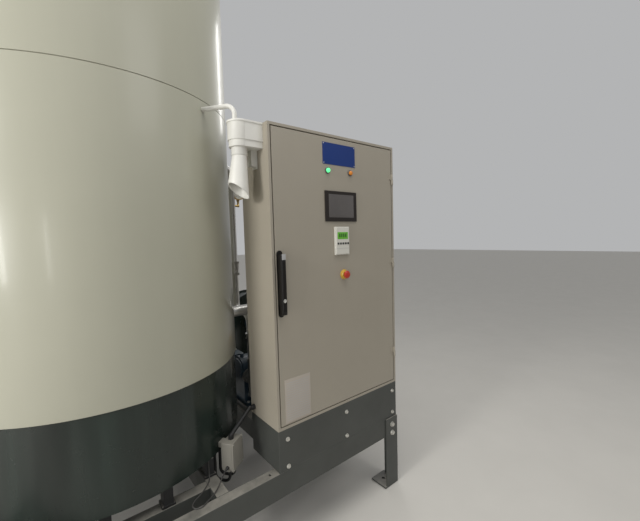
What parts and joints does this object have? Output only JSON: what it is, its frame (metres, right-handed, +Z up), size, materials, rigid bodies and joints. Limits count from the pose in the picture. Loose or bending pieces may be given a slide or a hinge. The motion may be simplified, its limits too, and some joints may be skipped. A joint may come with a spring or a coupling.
{
  "type": "coil steam boiler",
  "caption": "Vertical coil steam boiler on a raised channel skid, with a hinged-door control cabinet, feed pump, blower and steam separator.",
  "frame": {"origin": "on the floor, at the middle of the whole part's length and depth", "axes": "+X to the right seen from the cabinet's front, +Y to the rear, +Z up"},
  "size_m": [2.07, 1.508, 3.08],
  "materials": {
    "frame_paint": "satin dark grey-green",
    "windbox_paint": "satin dark grey-green",
    "casing_paint": "satin warm light grey",
    "bolt_steel": "zinc plated",
    "foot_black": "matt black",
    "pipe_steel": "bare and clamped insulation jacket",
    "machine_paint": "satin blue-grey",
    "guard_paint": "satin yellow",
    "cast_grey": "machined and painted",
    "brass": "dull",
    "cabinet_paint": "textured light grey",
    "galvanised": "galvanised sheet",
    "black_plastic": "satin black",
    "plate_blue": "engraving laminate, blank",
    "lamp_green": "lit lens",
    "lamp_orange": "lens",
    "panel_dark": "dark bezel",
    "white_plastic": "white",
    "stop_yellow": "yellow",
    "stop_red": "red",
    "duct_grey": "grey duct",
    "device_grey": "dark grey devices",
    "coil_steel": "heat-stained tube",
    "box_grey": "light grey",
    "cable_black": "matt"
  },
  "bodies": {
    "frame": {"skid_beam_front": "frame_paint", "skid_beam_rear": "frame_paint", "skid_inner_beams": "frame_paint", "skid_cross_members": "frame_paint", "skid_legs": "frame_paint", "frame_bolts": "bolt_steel", "drum_feet": "foot_black", "windbox_shell": "windbox_paint", "windbox_floor": "windbox_paint", "heating_coil": "coil_steel", "casing_lower": "casing_paint", "casing_upper": "casing_paint", "casing_top": "casing_paint", "flue_collar": "galvanised", "lifting_lugs": "frame_paint", "gas_inlet": "guard_paint", "blower_housing": "windbox_paint", "blower_inlet": "galvanised", "blower_motor": "machine_paint", "air_duct": "windbox_paint", "pump_base": "frame_paint", "feed_pump": "machine_paint", "pump_heads": "cast_grey", "pump_motor": "machine_paint", "belt_guard": "guard_paint", "feed_pipe": "pipe_steel", "separator_vessel": "pipe_steel", "separator_legs": "frame_paint", "coil_pipe": "pipe_steel", "steam_pipe": "pipe_steel", "steam_valve": "machine_paint", "safety_valve": "brass", "gauge_stand": "brass", "cabinet_body": "cabinet_paint", "mounting_plate": "galvanised", "wiring_ducts": "duct_grey", "switchgear": "device_grey", "cabinet_plinth": "frame_paint", "hinge_pins": "bolt_steel", "vent_hood": "box_grey", "vent_spout": "box_grey", "vent_pipe": "box_grey", "junction_box": "box_grey", "junction_cable": "cable_black"},
    "door": {"cabinet_door": "cabinet_paint", "hinge_knuckles": "bolt_steel", "handle_base": "black_plastic", "name_plate": "plate_blue", "pilot_lamp_green": "lamp_green", "pilot_lamp_orange": "lamp_orange", "touch_panel": "panel_dark", "controller": "white_plastic", "stop_collar": "stop_yellow"},
    "handle_turner": {"handle_hub": "bolt_steel"},
    "lever": {"handle_lever": "black_plastic"},
    "stop": {"stop_button": "stop_red"}
  },
  "joints": [
    {"name": "cabinet_door", "type": "hinge", "parent": "frame", "child": "door", "pos_m": [1.0195, -0.722, 1.335], "axis": [0, 0, 1], "range_deg": [0, 120]},
    {"name": "handle_turn", "type": "hinge", "parent": "door", "child": "handle_turner", "pos_m": [0.233, -0.738, 1.44], "axis": [0, -1, 0], "range_deg": [0, 90]},
    {"name": "handle_lift", "type": "hinge", "parent": "handle_turner", "child": "lever", "pos_m": [0.233, -0.738, 1.44], "axis": [-1, 0, 0], "range_deg": [0, 40]},
    {"name": "emergency_stop", "type": "slide", "parent": "door", "child": "stop", "axis": [0, 1, 0], "range_m": [0, 0.005]}
  ]
}
